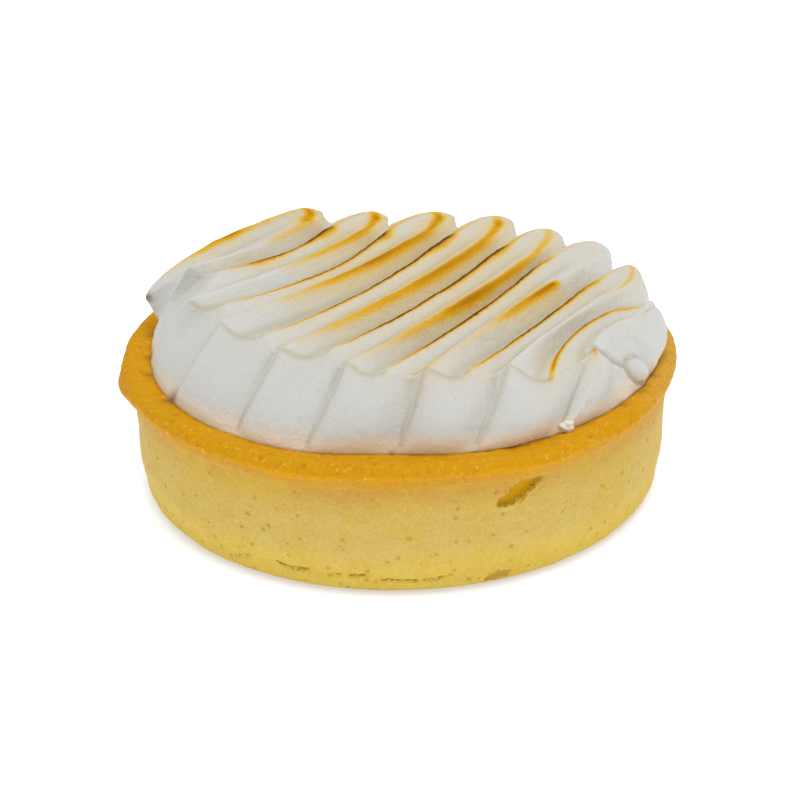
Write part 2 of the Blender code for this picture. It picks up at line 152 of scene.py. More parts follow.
BROAD_SCORCH = (
    ((0, 0, 0, .8), (.4, 0, .05, .8), (.6, 0, .45, .9), (.85, 0, .6, 1), (.95, .1, .9, 1.2),
     (1, .05, .8, 1.0), (1.2, .12, 1, .9), (1.35, .05, .9, .8), (1.5, 0, .4, .5)),
    ((0, 0, 0, .8), (.35, 0, 0, .8), (.45, 0, .4, .8), (.6, 0, .7, .9), (.85, .05, .9, 1), (1, .1, .8, .9),
     (1.2, .12, 1, .9), (1.35, .05, .8, .8), (1.5, 0, .35, .4)),
    ((0, 0, 0, .8), (.15, 0, .1, .9), (.25, 0, .45, 1.1), (.45, .1, .85, 1.2), (.6, .15, 1, 1.3),
     (.8, .1, .9, 1.2), (1, .1, .9, 1.0), (1.2, .12, 1, .9), (1.35, .05, .8, .8), (1.5, 0, .35, .4)),
    ((0, 0, .05, .5), (.08, 0, .3, .6), (.2, 0, .6, 1.1), (.4, .05, .8, 1.2), (.6, .1, .95, 1.3),
     (.8, .1, .9, 1.2), (1, .05, .85, .9), (1.2, .15, .9, .9), (1.35, 0, .6, .7), (1.5, 0, .25, .4)),
    ((0, 0, .1, .5), (.1, 0, .3, .8), (.25, .05, .6, 1.1), (.5, .15, 1, 1.3), (.7, .1, .9, 1.0),
     (.9, 0, .7, .8), (1, 0, .6, .8), (1.3, 0, .5, .7), (1.5, 0, .25, .5)),
    ((0, .3, .5, .4), (.1, 0, .25, .5), (.3, 0, .35, .8), (.5, .15, .8, 1.0), (.65, .2, 1, 1.0),
     (.7, .2, 1, 1.0), (.76, 0, 0, .9), (.9, 0, .1, .7), (1, 0, .12, .7), (1.5, 0, .1, .5)),
    ((0, 0, .1, .3), (.1, 0, 0, .3), (.74, 0, 0, .3), (.84, 0, .35, .3), (1, .05, .5, .35),
     (1.5, 0, .45, .4)),
    ((0, .9, .6, .4), (.03, .2, .3, .3), (.07, 0, 0, .3), (1, 0, .08, .4), (1.5, 0, .08, .4)),
)

FRONT_SHADE = 0.45                # half width of the painted shade along the edges and creases at the front

# A dark line keeps to its ridge, and near the back it turns in a loop on the nose.
LINE_STEPS = 600
LOOP_STEPS = 40
LOOP_INSETS = (0.05, 0.2)         # how far in from its ridge each of the two lines starts its loop
LOOP_START = 0.75
LOOP_DEPTH = 0.07                 # share of a run that the loop's round end takes
LOOP_SETBACK = 0.022

# Cracks of the case's wall: bearing in degrees, height and half width along each.
GOUGE = ((-62.4, 17.5, .15), (-64.0, 17.1, .35), (-65.7, 16.6, .75), (-67.5, 15.7, .85), (-69.0, 14.9, .7),
         (-70.8, 14.4, .35))
CRACKS = (
    ((-126.7, 2.65, .1), (-123.1, 3.55, .15)),
    ((-116.1, 4.0, .15), (-113.5, 3.2, .3), (-111.2, 3.3, .3), (-109.1, 3.65, .12)),
    ((-105.5, 2.7, .1), (-104.1, 3.2, .2), (-102.4, 3.5, .1)),
    ((-101.4, 3.1, .15), (-99.6, 3.5, .25), (-97.3, 3.6, .1)),
    ((-94.8, 2.5, .1), (-93.0, 2.8, .2), (-90.5, 2.5, .15), (-86.8, 2.7, .1)),
    ((-86.0, 2.55, .1), (-83.6, 2.7, .2), (-80.2, 3.3, .1)),
)
CRACK_WIDTH = 1.8

# Fold of the last lobe, from its corner down to the lump and round it; it is sunk into the meringue, and
# shade is painted along it.
LOBE_FOLD = (
    (-40.2, 31.6, .2), (-36.4, 29.4, .3), (-32.0, 27.2, .35), (-28.9, 25.7, .35), (-29.0, 24.2, .35),
    (-28.0, 22.9, .3), (-26.0, 22.5, .3), (-24.2, 22.9, .3), (-23.2, 24.0, .25), (-23.3, 25.4, .25),
    (-24.4, 26.4, .25), (-26.0, 26.8, .25), (-27.8, 26.5, .3), (-28.9, 25.7, .35),
)
FOLD_MIDDLE = -32
FOLD_SPREAD = 12
FOLD_RADIUS = 36
FOLD_DEPTH = 0.4
CHIP = ((-73.2, 1.3, .3), (-71.2, 1.5, .65), (-69.0, 1.9, .4))

# Burnt spots, and spots of painted shade where the meringue meets the rim: bearing from +X, radius, height,
# half width and strength.
BURNS_AND_SHADE_SPOTS = (
    (170.8, 42.0, 28.0, 0.9, 1.0),
    (172.5, 40.9, 22.4, 1.3, 0.8),
    (-175.0, 40.2, 22.2, 1.0, 0.9),
    (-165.9, 41.0, 22.1, 0.9, 0.7),
    (-150.8, 40.2, 22.0, 1.4, 0.9),
    (-129.0, 38.8, 21.6, 0.5, 0.5),
    (-92.0, 38.2, 21.5, 0.5, 0.8),
    (-74.2, 38.4, 21.6, 0.7, 0.6),
    (-36.0, 41.9, 22.0, 0.9, 0.5),
    (-29.0, 42.3, 22.0, 1.0, 0.5),
    (-21.0, 42.6, 22.1, 0.9, 0.4),
)

# Golden spot at the tip of the last lobe: bearing, radius, height and half width.
GOLDEN_SPOT = (-41.2, 38.5, 31.6, 0.8)

# Where the hand-pressed case departs from round: bearing, height, amount, width in degrees and rise.
CASE_BULGES = (
    (-166, 19.9, 1.3, 7, 1.2),
    (-62, 20.8, 0.8, 7, 2.2),
    (-40, 20.8, 0.4, 8, 2.0),
    (-109, 21.0, 0.4, 7, 1.8),
    (-90, 21.0, -0.4, 8, 2.0),
    (100, 20.5, 0.7, 12, 2.0),
    (35, 20.5, -0.5, 9, 2.0),
)

CRUMB_PLACE = (24.5, -32.4, 22.4)

CAMERA_ELEVATION = math.radians(25.8)
CAMERA_DISTANCE = 0.300
CAMERA_ROLL = math.radians(-1.2)
CAMERA_TARGET = (0, 0, 0.012)


def smooth(x):
    """Ease from 0 to 1 with level ends."""
    x = min(max(x, 0.0), 1.0)
    return x * x * (3 - 2 * x)


def mix(a, b, share):
    return a + (b - a) * share


def bump(x, centre, width):
    return math.exp(-((x - centre) / width) ** 2)


def apart(bearing, other):
    """Turn from one bearing to another, between -180 and 180 degrees."""
    return (bearing - other + 180) % 360 - 180


def polar(bearing, reach):
    turn = math.radians(bearing)
    return reach * math.cos(turn), reach * math.sin(turn)


def through(x, points):
    """Parabola through three points."""
    (x0, y0), (x1, y1), (x2, y2) = points
    return (y0 * (x - x1) * (x - x2) / ((x0 - x1) * (x0 - x2))
            + y1 * (x - x0) * (x - x2) / ((x1 - x0) * (x1 - x2))
            + y2 * (x - x0) * (x - x1) / ((x2 - x0) * (x2 - x1)))


def between(x, table):
    """Row of a table at x, with its columns after the first eased from one row to the next."""
    if x <= table[0][0]:
        return table[0][1:]
    for low, high in zip(table, table[1:]):
        if x <= high[0]:
            share = smooth((x - low[0]) / (high[0] - low[0]))
            return tuple(mix(a, b, share) for a, b in zip(low[1:], high[1:]))
    return table[-1][1:]


def spread(count):
    """Shares from 0 to 1, closer together at both ends."""
    even = [step / count for step in range(count + 1)]
    return [mix(t, 0.5 - 0.5 * math.cos(math.pi * t), 0.6) for t in even]


# Grids

def lay_grid(name, columns, rows, place):
    """A grid whose corners are moved to place(column, row), in millimetres."""
    bpy.ops.object.select_all(action="DESELECT")
    bpy.ops.mesh.primitive_grid_add(x_subdivisions=columns, y_subdivisions=rows, size=1)
    grid = bpy.context.object
    grid.name = name
    for vertex in grid.data.vertices:
        column = round((vertex.co.x + 0.5) * columns)
        row = round((vertex.co.y + 0.5) * rows)
        vertex.co = Vector(place(column, row)) * MM
    return grid


def close_up(name, *parts):
    """Join the grids into one closed piece whose faces look outwards."""
    bpy.ops.object.select_all(action="DESELECT")
    for part in parts:
        part.select_set(True)
    bpy.context.view_layer.objects.active = parts[0]
    if len(parts) > 1:
        bpy.ops.object.join()
    piece = bpy.context.object
    piece.name = piece.data.name = name
    bpy.ops.object.mode_set(mode="EDIT")
    bpy.ops.mesh.select_all(action="SELECT")
    bpy.ops.mesh.remove_doubles(threshold=0.000001)
    bpy.ops.mesh.normals_make_consistent(inside=False)
    bpy.ops.object.mode_set(mode="OBJECT")
    bpy.ops.object.shade_smooth()
    return piece


def vertex_arrays(piece):
    """Places in millimetres and normals of the piece's vertices."""
    count = len(piece.data.vertices)
    places = np.empty(count * 3)
    normals = np.empty(count * 3)
    piece.data.vertices.foreach_get("co", places)
    piece.data.vertices.foreach_get("normal", normals)
    return places.reshape(-1, 3) / MM, normals.reshape(-1, 3)


def set_places(piece, places):
    piece.data.vertices.foreach_set("co", (places * MM).ravel())
    piece.data.update()


def set_attribute(piece, name, values):
    attribute = piece.data.attributes.new(name, "FLOAT_VECTOR", "POINT")
    attribute.data.foreach_set("vector", np.asarray(values, np.float32).ravel())


# Meringue

def ridge_point(index, along):
    """Point of a ridge, from its front end at 0 to its back end at 1. Even ridges are the thin ones."""
    run = RUNS[index // 2]
    if index % 2:
        front, middle, back = run.corner, run.broad_middle, run.broad_end
    else:
        front, middle, back = run.start, run.thin_middle, run.thin_end
    front_across, front_along = polar(*front[:2])
    back_across, back_along = polar(*back[:2])
    q = mix(front_along, back_along, along)
    p = through(q, ((front_along, front_across), (RUN_MIDDLE, middle), (back_along, back_across)))
    rise = LOW_RISE if index in LOW_STARTS else 1.0
    tilt = RIDGE_TILTS[index % 2] if index else 0.0
    z = mix(front[2], back[2] + tilt, along ** rise)
    return p, q, z - tilt * smooth((along - TILT_START) / (1 - TILT_START))


def hollow_shape(share, lowest, level_left, level_right):
    """Depth of a hollow from 0 at its sides to 1 at its lowest place; a level side has no edge there."""
    if share < lowest:
        part, level = share / lowest, level_left
    else:
        part, level = (1 - share) / (1 - lowest), level_right
    return mix(math.sin(part * math.pi / 2), smooth(part), level)


def hollow_depth(index, along, share):
    """Depth between ridges index and index + 1."""
    front = 1 - smooth(along / FRONT_SHARE)
    back = 1 - smooth((1 - along) / BACK_SHARE)
    if index % 2:
        valley = VALLEY_DEPTH if index < RIDGES - 3 else SHALLOW_VALLEY
        depth = mix(mix(valley, SMILE_DIP, front), NOTCH_DEPTH, back)
        return depth * hollow_shape(share, mix(VALLEY_LOWEST, NOTCH_LOWEST, back), 1.0, 0.0)
    depth = mix(DISH_DEPTH, CREASE_DEPTHS[index // 2], front) * (1 - back)
    lowest = mix(DISH_LOWEST, CREASE_LOWEST, front)
    return depth * hollow_shape(share, lowest, mix(SIDE_LEVEL, 1.0, front), 1 - CREASE_LEVEL * front)


def top_point(index, share, along):
    """Point of the meringue's top between ridges index and index + 1; its last rows roll over the back."""
    inner = smooth((index + share) / ROLL_FADE) * smooth((RIDGES - 1 - index - share) / ROLL_FADE)
    crest = mix(along, min(along / (1 - NOSE_ROLL), 1.0), inner)
    p0, q0, z0 = ridge_point(index, crest)
    p1, q1, z1 = ridge_point(min(index + 1, RIDGES - 1), crest)
    p, q, z = mix(p0, p1, share), mix(q0, q1, share), mix(z0, z1, share)
    z -= hollow_depth(index, crest, share)
    arch = max(math.sin(math.pi * share), 0.0)
    front = (1 - min(crest / EDGE_SHARE, 1)) ** 2
    back = (1 - min((1 - crest) / EDGE_SHARE, 1)) ** 2
    outward = (SMILE_BULGE if index % 2 else -CREASE_RECESS * CREASE_DEPTHS[index // 2]) * arch * front
    if index % 2:
        q -= NOTCH_RECESS * arch * back
    else:
        q += NOSE_REACH * math.sqrt(arch) * back
        z += NOSE_CROWN * arch * back
    roll = max(1 - (1 - along) / NOSE_ROLL, 0.0) * math.pi / 2
    outward += inner * ROLL_REACH * math.sin(roll)
    stretch = 1 + outward / max(math.hypot(p, q), 1.0)
    return p * stretch, q * stretch, z - inner * ROLL_REACH * (1 - math.cos(roll))


def rim_top(radius):
    """Height of the case's top at a radius."""
    if radius < RIM_SLOPE_RADIUS:
        share = (radius - SEAT_RADIUS) / (RIM_SLOPE_RADIUS - SEAT_RADIUS)
        return mix(SEAT_HEIGHT, RIM_SLOPE_HEIGHT, share)
    share = (radius - RIM_SLOPE_RADIUS) / (RIM_TOP_RADIUS - RIM_SLOPE_RADIUS)
    return mix(RIM_SLOPE_HEIGHT, CASE_HEIGHT, share)


def foot_radius(bearing):
    """Radius of the meringue's foot: it draws back from the front of the rim."""
    swings = [amount * bump(apart(bearing, middle), 0, width) for middle, amount, width in FOOT_SWINGS]
    return WALL_FOOT_RADIUS + sum(swings)


def lobe_shape(place):
    """How a lobe's front stands out from one crease (0) to the next (1): sharp start, slow fall."""
    proud = smooth(place / 0.12)
    fall = smooth((place - 0.55) / 0.45)
    return PILLOW * proud * math.sin(math.pi * place ** 0.7) ** 0.6 - CREASE_STEP * fall


def wall_point(top, side, place, share_down):
    """Point of the wall below a point of the top's edge; share_down is 1 at the foot."""
    p, q, z = top
    reach = math.hypot(p, q)
    bearing = math.degrees(math.atan2(q, p))
    if side == "front":
        index = min(int(place), RIDGES - 2)
        towards = mix(FOOT_BEARINGS[index], FOOT_BEARINGS[index + 1], place - index)
        stand = lobe_shape(((place - 1) % 2) / 2) if place >= 1 else 0.0
    elif side == "right":
        towards = mix(FOOT_BEARINGS[-1], bearing, smooth(place / 0.8))
        stand = PILLOW * smooth(place / 0.1) * (1 - smooth((place - 0.25) / 0.3))
        stand += PILLOW * smooth((place - 0.75) / 0.2) - LAST_VALLEY * bump(place, 0.55, 0.15)
    elif side == "back":
        towards = bearing
        stand = PILLOW / 2 * math.sin(math.pi * place) + PILLOW * smooth((place - BULGING_NOSES) / 2)
    else:
        towards = mix(bearing % 360, FOOT_BEARINGS[0] % 360, smooth(place / 0.6))
        stand = 0.0
    turn = bearing + apart(towards, bearing) * share_down
    rounding, drop = WALL_ROUNDING[side], WALL_DROP[side]
    if side == "right":
        rounding = mix(rounding, WALL_ROUNDING["back"], smooth((place - 0.6) / 0.4))
    elif side == "left":
        rounding = mix(rounding, WALL_ROUNDING["front"], smooth((place - 0.85) / 0.15))
        drop = mix(mix(WALL_DROP["back"], drop, smooth(place / 0.2)), WALL_DROP["front"],
                   smooth((place - 0.85) / 0.15))
    outward = mix(share_down, math.sin(math.pi / 2 * share_down), rounding)
    foot = foot_radius(turn)
    radius = mix(reach, foot, outward)
    radius += stand * max(math.sin(math.pi * share_down), 0.0) ** 0.7
    height = mix(z, rim_top(foot) - FOOT_SINK, share_down ** drop)
    radius += LUMP * bump(turn, LUMP_BEARING, LUMP_TURN) * bump(height, LUMP_HEIGHT, LUMP_RISE)
    return (*polar(turn, radius), height)


def to_world(point):
    """From the runs' own directions to the tart's."""
    p, q, z = point
    x = p * math.sin(RUN_DIRECTION) + q * math.cos(RUN_DIRECTION)
    y = -p * math.cos(RUN_DIRECTION) + q * math.sin(RUN_DIRECTION)
    return x, y, z


GAP_SHARES = spread(COLUMNS_PER_GAP)
ROW_SHARES = spread(SHEET_ROWS)


def sheet_place(column, row):
    """Point of the ribbon's top, still in the runs' own directions."""
    index = min(column // COLUMNS_PER_GAP, RIDGES - 2)
    return top_point(index, GAP_SHARES[column - index * COLUMNS_PER_GAP], ROW_SHARES[row])


def edge_stations():
    """Round the sheet's edge: column, row, side, and place along that side."""
    def across(column):
        index = min(column // COLUMNS_PER_GAP, RIDGES - 2)
        return index + GAP_SHARES[column - index * COLUMNS_PER_GAP]

    last_row, last_column = SHEET_ROWS, SHEET_COLUMNS
    stations = [(c, 0, "front", across(c)) for c in range(last_column)]
    stations += [(last_column, r, "right", ROW_SHARES[r]) for r in range(last_row)]
    stations += [(c, last_row, "back", across(c)) for c in range(last_column, 0, -1)]
    stations += [(0, r, "left", 1 - ROW_SHARES[r]) for r in range(last_row, 0, -1)]
    return stations


def scorch_lines(first):
    """Points along the thin (0) or broad (1) ridges and their half noses, with run and place of each."""
    points, marks = [], []
    for index in range(first, RIDGES, 2):
        dish = index - first
        line = []
        for step in range(LINE_STEPS + 1):
            place = step / LINE_STEPS
            inset = LOOP_INSETS[first] * max((place - LOOP_START) / (1 - LOOP_START), 0.0) ** 2
            line.append((place, inset, place * (1 - LOOP_DEPTH)))
        for step in range(1, LOOP_STEPS + 1):
            share = step / LOOP_STEPS
            turn = share * math.pi / 2
            inset = mix(0.5, LOOP_INSETS[first], math.cos(turn))
            line.append((1 + share / 2, inset, 1 - mix(LOOP_DEPTH, LOOP_SETBACK, math.sin(turn))))
        for place, inset, along in line:
            points.append(to_world(top_point(dish, 1 - inset if first else inset, along)))
            marks.append((index // 2, place))
    return np.array(points), marks


def front_lines():
    """Points along the edges between the top and the lobes, and down the creases between the lobes."""
    points = [top_point(index, step / 40, 0.0) for index in range(3, RIDGES - 2, 2) for step in range(41)]
    for corner in range(3, RIDGES - 1, 2):
        top = ridge_point(corner, 0.0)
        points += [wall_point(top, "front", corner, step / 50) for step in range(45)]
    return points


def scorch(places, first, tables):
    """For each place, distance to the nearest ridge line, its dark line, amber glow and half width."""
    points, marks = scorch_lines(first)
    tangents = np.gradient(points, axis=0)
    steps = np.linalg.norm(tangents, axis=1, keepdims=True)
    tangents /= steps
    tree = kdtree.KDTree(len(points))
    for number, point in enumerate(points):
        tree.insert(point, number)
    tree.balance()
    looks = [between(along, tables[run]) for run, along in marks]
    found = np.array([tree.find(place)[1] for place in places])
    offset = places - points[found]
    along = np.clip((offset * tangents[found]).sum(1), -0.1, 0.1)
    distance = np.linalg.norm(offset - along[:, None] * tangents[found], axis=1)
    return distance, np.array(looks)[found]


def folds(piece, places, normals):
    """How far each vertex lies below its neighbours' mean: positive in a fold, negative on a crest."""
    edges = np.empty(len(piece.data.edges) * 2, np.int64)
    piece.data.edges.foreach_get("vertices", edges)
    a, b = edges.reshape(-1, 2).T
    total = np.zeros_like(places)
    count = np.zeros(len(places))
    np.add.at(total, a, places[b])
    np.add.at(total, b, places[a])
    np.add.at(count, a, 1)
    np.add.at(count, b, 1)
    return ((total / count[:, None] - places) * normals).sum(1)


def burn_and_shade_shares(places):
    """How dark each place is from the nearest listed spot: burns, and painted shade at the meringue's foot.
    """
    burnt = np.zeros((len(places), 3))
    for bearing, radius, height, half_width, strength in BURNS_AND_SHADE_SPOTS:
        distance = np.linalg.norm(places - (*polar(bearing, radius), height), axis=1)
        burnt[:, 0] = np.maximum(burnt[:, 0], strength * np.exp(-(distance / half_width) ** 2))
    return burnt


def front_shades(places):
    """How near each place is to the edges and creases at the front, where shade is painted."""
    lines = front_lines()
    tree = kdtree.KDTree(len(lines))
    for number, point in enumerate(lines):
        tree.insert(to_world(point), number)
    tree.balance()
    return np.array([math.exp(-(tree.find(place)[2] / FRONT_SHADE) ** 2) for place in places])


def soft_lumps(places, size, seed):
    """Smooth unevenness between about -1 and 1, of the given size in millimetres."""
    shift = Vector((seed * 7.3, seed * 3.1, seed * 5.7))
    return np.array([noise.noise(Vector(place) / size + shift) for place in places])


def soft_edges():
    """Points where the meringue sank and rounded: the dishes' front edges at the left, and the creases."""
    edges = [(softness, top_point(dish, step / 40, 0.0)) for dish, softness in SOFT_DISHES
             for step in range(3, 36)]
    for corner in range(1, RIDGES, 2):
        top = ridge_point(corner, 0.0)
        for step in range(1, 40):
            softness = CREASE_SOFTNESS * (1 - smooth((step / 40 - 0.6) / 0.25))
            edges.append((softness, wall_point(top, "front", corner, step / 40)))
    for place in (0.04, 0.1, 0.18, 0.26):
        top = ridge_point(RIDGES - 1, place)
        edges += [(0.35, wall_point(top, "right", place, step / 40)) for step in range(3, 26)]
    return edges


def soften(meringue):
    edges = soft_edges()
    tree = kdtree.KDTree(len(edges))
    for number, (softness, point) in enumerate(edges):
        tree.insert(to_world(point), number)
    tree.balance()
    group = meringue.vertex_groups.new(name="soft edges")
    for vertex in meringue.data.vertices:
        place, number, distance = tree.find(vertex.co / MM)
        if distance < SOFT_REACH:
            group.add([vertex.index], edges[number][0] * (1 - smooth(distance / SOFT_REACH)), "REPLACE")
    bpy.ops.object.modifier_add(type="SMOOTH")
    modifier = meringue.modifiers[-1]
    modifier.factor = 0.5
    modifier.iterations = 60
    modifier.vertex_group = group.name
    bpy.ops.object.modifier_apply(modifier=modifier.name)


def crack_nearness(bearing, height, line):
    """1 on a crack's line, 0 at its edges, and down to -1 beyond them."""
    best = -1.0
    for (b0, h0, w0), (b1, h1, w1) in zip(line, line[1:]):
        x0, x1, x = (math.radians(b) * WALL_RADIUS for b in (b0, b1, bearing))
        dx, dy = x1 - x0, h1 - h0
        t = min(max(((x - x0) * dx + (height - h0) * dy) / (dx * dx + dy * dy), 0), 1)
        distance = math.hypot(x - x0 - dx * t, height - h0 - dy * t)
        best = max(best, 1 - distance / (CRACK_WIDTH * mix(w0, w1, t)))
    return best


def make_meringue():
    sheet = lay_grid("meringue_top", SHEET_COLUMNS, SHEET_ROWS, lambda c, r: to_world(sheet_place(c, r)))
    stations = edge_stations()
    stations.append(stations[0])

    def wall_place(column, row):
        c, r, side, place = stations[column]
        top = sheet_place(c, r)
        if row <= WALL_ROWS:
            return to_world(wall_point(top, side, place, row / WALL_ROWS) if row else top)
        p, q, z = wall_point(top, side, place, 1.0)
        reach = math.hypot(p, q)
        radius = (reach - 0.3, SEAT_RADIUS - 0.5, 0.0)[row - WALL_ROWS - 1]
        height = (z, SEAT_HEIGHT + 0.1, SEAT_HEIGHT + 0.1)[row - WALL_ROWS - 1]
        return to_world((p * radius / reach, q * radius / reach, height))

    wall = lay_grid("meringue_wall", len(stations) - 1, WALL_ROWS + 3, wall_place)
    meringue = close_up("torched_meringue", sheet, wall)
    soften(meringue)

    places, normals = vertex_arrays(meringue)
    thin_distance, thin_look = scorch(places, 0, THIN_SCORCH)
    broad_distance, broad_look = scorch(places, 1, BROAD_SCORCH)
    set_attribute(meringue, "thin", np.column_stack([thin_distance, thin_look[:, 0], thin_look[:, 1]]))
    set_attribute(meringue, "broad", np.column_stack([broad_distance, broad_look[:, 0], broad_look[:, 1]]))
    fold = folds(meringue, places, normals)
    shades = front_shades(places)
    set_attribute(meringue, "widths", np.column_stack([thin_look[:, 2], broad_look[:, 2], fold]))

    shown = np.clip((normals[:, 2] + 0.7) / 0.3, 0, 1)
    relief = 0.12 * soft_lumps(places, 5.0, 1) + 0.08 * soft_lumps(places * (1, 1, 1.8), 2.2, 2)
    relief += 0.03 * soft_lumps(places, 0.8, 3)
    bearings = np.degrees(np.arctan2(places[:, 1], places[:, 0]))
    radii = np.hypot(places[:, 0], places[:, 1])
    near_fold = (radii > FOLD_RADIUS) & (abs(bearings - FOLD_MIDDLE) < FOLD_SPREAD)
    for i in np.nonzero(near_fold)[0]:
        crease = smooth(crack_nearness(bearings[i], places[i, 2], LOBE_FOLD))
        relief[i] -= FOLD_DEPTH * crease
        # The fold's line also gets painted shade.
        shades[i] = max(shades[i], crease)
    set_places(meringue, places + normals * (relief * shown)[:, None])
    burns_and_shades = burn_and_shade_shares(places)
    bearing, radius, height, half_width = GOLDEN_SPOT
    distances = np.linalg.norm(places - (*polar(bearing, radius), height), axis=1)
    burns_and_shades[:, 1] = np.exp(-(distances / half_width) ** 2)
    # Third column: painted shade along the front edges, the creases and the last lobe's fold.
    burns_and_shades[:, 2] = shades
    set_attribute(meringue, "burns_and_painted_shade", burns_and_shades)
    meringue.data.materials.append(meringue_material())
    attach(meringue, "root")
    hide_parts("meringue")
    return meringue


# Case

def case_profile():
    """Radius and height from the rim's inner slope, over the rim and down the wall to the floor."""
    return [
        (SEAT_RADIUS, SEAT_HEIGHT),
        (RIM_SLOPE_RADIUS, RIM_SLOPE_HEIGHT),
        (RIM_TOP_RADIUS, CASE_HEIGHT - 0.05),
        (RIM_RADIUS - 1.1, CASE_HEIGHT),
        (RIM_RADIUS - 0.3, CASE_HEIGHT - 0.5),
        (RIM_RADIUS, CASE_HEIGHT - 1.3),
        (RIM_RADIUS - 0.5, CASE_HEIGHT - 2.7),
        (WALL_RADIUS + 0.5, CASE_HEIGHT - 4.4),
        (WALL_RADIUS + 0.1, CASE_HEIGHT - 7.5),
        (WALL_RADIUS, CASE_HEIGHT / 2),
        (WALL_RADIUS, CASE_HEIGHT * 0.3),
        (WALL_RADIUS - 0.6, CASE_HEIGHT * 0.15),
        (WALL_RADIUS - 0.9, CASE_HEIGHT * 0.07),
        (FLOOR_RADIUS + 1.0, 0.5),
        (FLOOR_RADIUS, 0.0),
    ]


def fine_line(points, step):
    """Smooth line through the points, with a point about every step."""
    line = []
    padded = [points[0]] + points + [points[-1]]
    for a, b, c, d in zip(padded, padded[1:], padded[2:], padded[3:]):
        count = max(2, round(math.dist(b, c) / step))
        for k in range(count):
            t = k / count
            line.append(tuple(
                0.5 * (2 * q + (r - p) * t + (2 * p - 5 * q + 4 * r - s) * t * t
                       + (3 * q - p - 3 * r + s) * t ** 3)
                for p, q, r, s in zip(a, b, c, d)))
    return line + [points[-1]]


def case_bulge(bearing, height):
    """How far the hand-pressed case departs from round."""
    out = CASE_WOBBLE * math.sin(math.radians(5 * bearing + 40)) * height / CASE_HEIGHT
    for middle, level, amount, width, rise in CASE_BULGES:
        out += amount * bump(apart(bearing, middle), 0, width) * bump(height, level, rise)
    return out


def make_crust():
    line = [(0.0, SEAT_HEIGHT), (20.0, SEAT_HEIGHT)] + fine_line(case_profile(), LINE_STEP)
    line += [(36.0, 0.0), (20.0, 0.0), (0.0, 0.0)]
    steps = FRONT_STEPS + BACK_STEPS
    start, end = FRONT_SECTOR

    def case_place(column, row):
        if column < FRONT_STEPS:
            bearing = mix(start, end, column / FRONT_STEPS)
        elif column < steps:
            bearing = mix(end, start + 360, (column - FRONT_STEPS) / BACK_STEPS)
        else:
            bearing = start
        radius, height = line[row]
        if radius > RIM_SLOPE_RADIUS and height > 0:
            radius += case_bulge(bearing, height)
        x, y = polar(bearing, radius)
        return x, y, height

    crust = close_up("baked_crust", lay_grid("crust", steps, len(line) - 1, case_place))
    places, normals = vertex_arrays(crust)
    bearings = np.degrees(np.arctan2(places[:, 1], places[:, 0]))
    radii = np.hypot(places[:, 0], places[:, 1])
    heights = places[:, 2]
    relief = 0.13 * soft_lumps(places, 6.0, 4) + 0.08 * soft_lumps(places, 2.2, 5)
    relief += 0.05 * soft_lumps(places, 0.9, 6)
    lip = np.clip((heights - 17.5) / 2, 0, 1)
    relief += lip * 0.12 * soft_lumps(places * (1, 1, 2.5), 1.7, 7)
    shown = np.clip((radii - 38) / 2, 0, 1) * np.clip(heights / 0.8, 0, 1)
    relief *= shown

    marks = np.full((len(places), 3), -1.0)
    for i in np.nonzero((radii > 39) & (bearings > FRONT_SECTOR[0]) & (bearings < FRONT_SECTOR[1]))[0]:
        bearing, height = bearings[i], heights[i]
        if 12.0 < height < 19.0:
            marks[i, 0] = crack_nearness(bearing, height, GOUGE)
            flake = crack_nearness(bearing - 0.9, height + 0.75, GOUGE)
            relief[i] += 0.25 * smooth(flake) * (1 - smooth(marks[i, 0])) - 0.55 * smooth(marks[i, 0] * 1.5)
        elif height < 5.5:
            marks[i, 1] = max(crack_nearness(bearing, height, crack) for crack in CRACKS)
            marks[i, 2] = crack_nearness(bearing, height, CHIP)
            relief[i] -= 0.35 * smooth(marks[i, 1]) + 0.3 * smooth(marks[i, 2])
    set_attribute(crust, "marks", marks)
    edges = burn_and_shade_shares(places)
    # Painted shade: a dark line on the rim along the meringue's foot, stronger towards the right.
    feet = np.array([foot_radius(bearing + RUN_TURN) for bearing in bearings])
    edges[:, 1] = np.exp(-((radii - feet) / 0.35) ** 2) * (places[:, 2] > SEAT_HEIGHT - 1)
    edges[:, 1] *= np.clip((bearings + 100) / 20, 0.3, 1)
    set_attribute(crust, "burns_and_painted_shade", edges)
    set_places(crust, places + normals * relief[:, None])
    crust.data.materials.append(crust_material())
    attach(crust, "root")
    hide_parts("crust")
    return crust


# Crumb

def make_crumb():
    """A crumb of meringue that fell on the rim."""
    bpy.ops.object.select_all(action="DESELECT")
    bpy.ops.mesh.primitive_ico_sphere_add(subdivisions=4, radius=1)
    crumb = bpy.context.object
    crumb.name = crumb.data.name = "meringue_crumb"
    for vertex in crumb.data.vertices:
        place = vertex.co * (1 + 0.45 * noise.noise(vertex.co * 1.6) + 0.12 * noise.noise(vertex.co * 5))
        place = Vector((place.x * 1.3, place.y * 0.9, place.z * 0.9))
        vertex.co = (place + Vector(CRUMB_PLACE)) * MM
    bpy.ops.object.shade_smooth()
    crumb.data.materials.append(plain_meringue_material())
    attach(crumb, "root")
    return crumb


# Finishes

def linear(red, green, blue):
    """A colour given as it shows on screen, from 0 to 255, as light."""
    return tuple((c / 255 / 12.92 if c < 11 else ((c / 255 + 0.055) / 1.055) ** 2.4)
                 for c in (red, green, blue)) + (1.0,)


def start_material(name, roughness):
    material = bpy.data.materials.new(name)
    material.use_nodes = True
    tree = material.node_tree
    shader = tree.nodes["Principled BSDF"]
    shader.inputs["Roughness"].default_value = roughness
    return material, tree, shader


